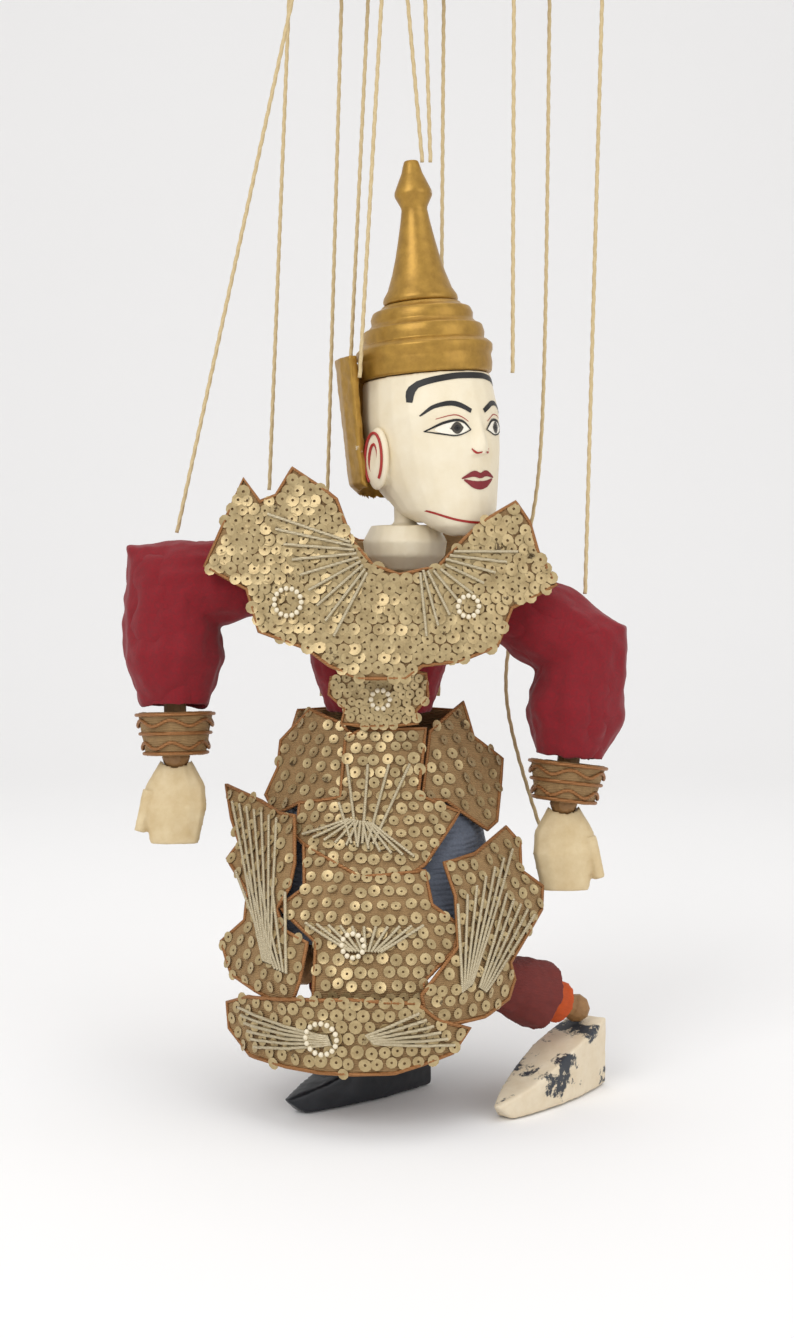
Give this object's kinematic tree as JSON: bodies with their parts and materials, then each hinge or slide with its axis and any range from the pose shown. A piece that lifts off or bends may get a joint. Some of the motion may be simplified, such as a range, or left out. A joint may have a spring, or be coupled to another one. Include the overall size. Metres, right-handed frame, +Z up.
{
  "type": "marionette",
  "caption": "Jointed wooden string puppet in court dress with a spired crown, hung by cotton strings from a wooden control bar.",
  "frame": {"origin": "centre of the hanging point on the control's flat top face", "axes": "+Z up along the strings, the puppet faces -Y, +X to the puppet's left"},
  "size_m": [0.253, 0.1784, 0.576],
  "materials": {
    "gold_leaf": "worn gold lacquer over wood",
    "cream_paint": "painted wood, yellowed",
    "velvet": "deep red pile",
    "sequin_cloth": "sequins and couched metal cord on cloth",
    "grey_knit": "knitted",
    "maroon_cotton": "plain woven",
    "orange_cotton": "plain woven",
    "bare_wood": "carved, bare",
    "cotton_string": "twisted cotton",
    "black_paint": "worn black paint"
  },
  "bodies": {
    "control": {"control_spine": "bare_wood", "control_front_bar": "bare_wood", "control_rear_bar": "bare_wood"},
    "torso": {"torso_block": "bare_wood", "jacket_body": "velvet", "collar_front": "sequin_cloth", "collar_back": "sequin_cloth", "right_elbow_string": "cotton_string", "right_shoulder_string": "cotton_string", "right_hip_string": "cotton_string", "left_hip_string": "cotton_string", "head_back_string": "cotton_string", "right_temple_string": "cotton_string", "left_temple_string": "cotton_string", "crown_string_left": "cotton_string", "crown_string_right": "cotton_string", "left_elbow_string": "cotton_string", "left_hand_string": "cotton_string"},
    "neck": {"neck": "cream_paint"},
    "head": {"head": "cream_paint", "crown_tiers": "gold_leaf", "crown_spire": "gold_leaf", "nape_guard": "gold_leaf"},
    "pelvis": {"pelvis_block": "bare_wood", "belt_buckle": "sequin_cloth", "petticoat": "grey_knit", "right_side_panel": "sequin_cloth", "left_side_panel": "sequin_cloth", "upper_apron": "sequin_cloth", "lower_apron": "sequin_cloth", "right_flame_flap": "sequin_cloth", "left_flame_flap": "sequin_cloth", "boat_flap": "sequin_cloth", "back_panel": "sequin_cloth"},
    "right_upper_arm": {"right_upper_arm": "bare_wood", "right_sleeve": "velvet"},
    "right_forearm": {"right_forearm": "bare_wood", "right_cuff": "sequin_cloth"},
    "right_hand": {"right_hand": "cream_paint"},
    "right_thigh": {"right_thigh": "bare_wood"},
    "right_shin": {"right_shin": "bare_wood", "right_trouser": "maroon_cotton", "right_stocking": "orange_cotton"},
    "right_foot": {"right_shoe": "black_paint"},
    "left_upper_arm": {"left_upper_arm": "bare_wood", "left_sleeve": "velvet"},
    "left_forearm": {"left_forearm": "bare_wood", "left_cuff": "sequin_cloth"},
    "left_hand": {"left_hand": "cream_paint"},
    "left_thigh": {"left_thigh": "bare_wood"},
    "left_shin": {"left_shin": "bare_wood", "left_trouser": "maroon_cotton", "left_stocking": "orange_cotton"},
    "left_foot": {"left_shoe": "cream_paint"}
  },
  "joints": [
    {"name": "body_swing", "type": "hinge", "parent": "control", "child": "torso", "pos_m": [-0.009, 0, -0.021], "axis": [1, 0, 0], "range_deg": [-6, 6], "deforming": ["right_shoulder_string"]},
    {"name": "neck_nod", "type": "hinge", "parent": "torso", "child": "neck", "pos_m": [0.004, 0, -0.329], "axis": [1, 0, 0], "range_deg": [-5, 5], "deforming": ["head_back_string"]},
    {"name": "head_turn", "type": "hinge", "parent": "neck", "child": "head", "pos_m": [0.004, 0, -0.301], "axis": [0, 0, 1], "range_deg": [-38, 20], "deforming": ["right_temple_string", "left_temple_string", "crown_string_left", "crown_string_right"]},
    {"name": "waist_bend", "type": "hinge", "parent": "torso", "child": "pelvis", "pos_m": [-0.009, 0, -0.402], "axis": [1, 0, 0], "range_deg": [-6, 6], "deforming": ["jacket_body", "right_hip_string", "left_hip_string"]},
    {"name": "right_shoulder", "type": "hinge", "parent": "torso", "child": "right_upper_arm", "pos_m": [-0.057, 0, -0.326], "axis": [0, 1, 0], "range_deg": [-6, 55], "deforming": ["right_elbow_string"]},
    {"name": "right_elbow", "type": "hinge", "parent": "right_upper_arm", "child": "right_forearm", "pos_m": [-0.112, -0.001, -0.331], "axis": [-1, 0, 0], "range_deg": [-5, 90], "deforming": ["right_sleeve"]},
    {"name": "right_wrist", "type": "hinge", "parent": "right_forearm", "child": "right_hand", "pos_m": [-0.11, -0.008, -0.416], "axis": [1, 0, 0], "range_deg": [-30, 30]},
    {"name": "right_hip", "type": "hinge", "parent": "pelvis", "child": "right_thigh", "pos_m": [-0.027, 0, -0.454], "axis": [1, 0, 0], "range_deg": [-12, 40], "deforming": ["petticoat", "lower_apron", "right_flame_flap"]},
    {"name": "right_knee", "type": "hinge", "parent": "right_thigh", "child": "right_shin", "pos_m": [-0.045, -0.058, -0.51], "axis": [0.6821, -0.6063, 0.4087], "range_deg": [-70, 6], "deforming": ["right_trouser", "right_stocking"]},
    {"name": "right_ankle", "type": "hinge", "parent": "right_shin", "child": "right_foot", "pos_m": [0.002, -0.024, -0.538], "axis": [-0.6773, 0.7357, 0], "range_deg": [-12, 12]},
    {"name": "left_shoulder", "type": "hinge", "parent": "torso", "child": "left_upper_arm", "pos_m": [0.039, 0, -0.328], "axis": [0, -1, 0], "range_deg": [-6, 55], "deforming": ["left_elbow_string"]},
    {"name": "left_elbow", "type": "hinge", "parent": "left_upper_arm", "child": "left_forearm", "pos_m": [0.092, -0.002, -0.362], "axis": [-1, 0, 0], "range_deg": [-5, 90], "deforming": ["left_sleeve", "left_hand_string"]},
    {"name": "left_wrist", "type": "hinge", "parent": "left_forearm", "child": "left_hand", "pos_m": [0.083, -0.009, -0.439], "axis": [1, 0, 0], "range_deg": [-30, 30]},
    {"name": "left_hip", "type": "hinge", "parent": "pelvis", "child": "left_thigh", "pos_m": [0.009, 0, -0.454], "axis": [1, 0, 0], "range_deg": [-12, 40], "deforming": ["boat_flap", "left_flame_flap"]},
    {"name": "left_knee", "type": "hinge", "parent": "left_thigh", "child": "left_shin", "pos_m": [0.03, -0.062, -0.51], "axis": [0.5926, -0.4201, 0.6873], "range_deg": [-70, 6], "deforming": ["left_trouser", "left_stocking"]},
    {"name": "left_ankle", "type": "hinge", "parent": "left_shin", "child": "left_foot", "pos_m": [0.088, -0.026, -0.538], "axis": [-0.8, 0.6, 0], "range_deg": [-12, 12]}
  ]
}
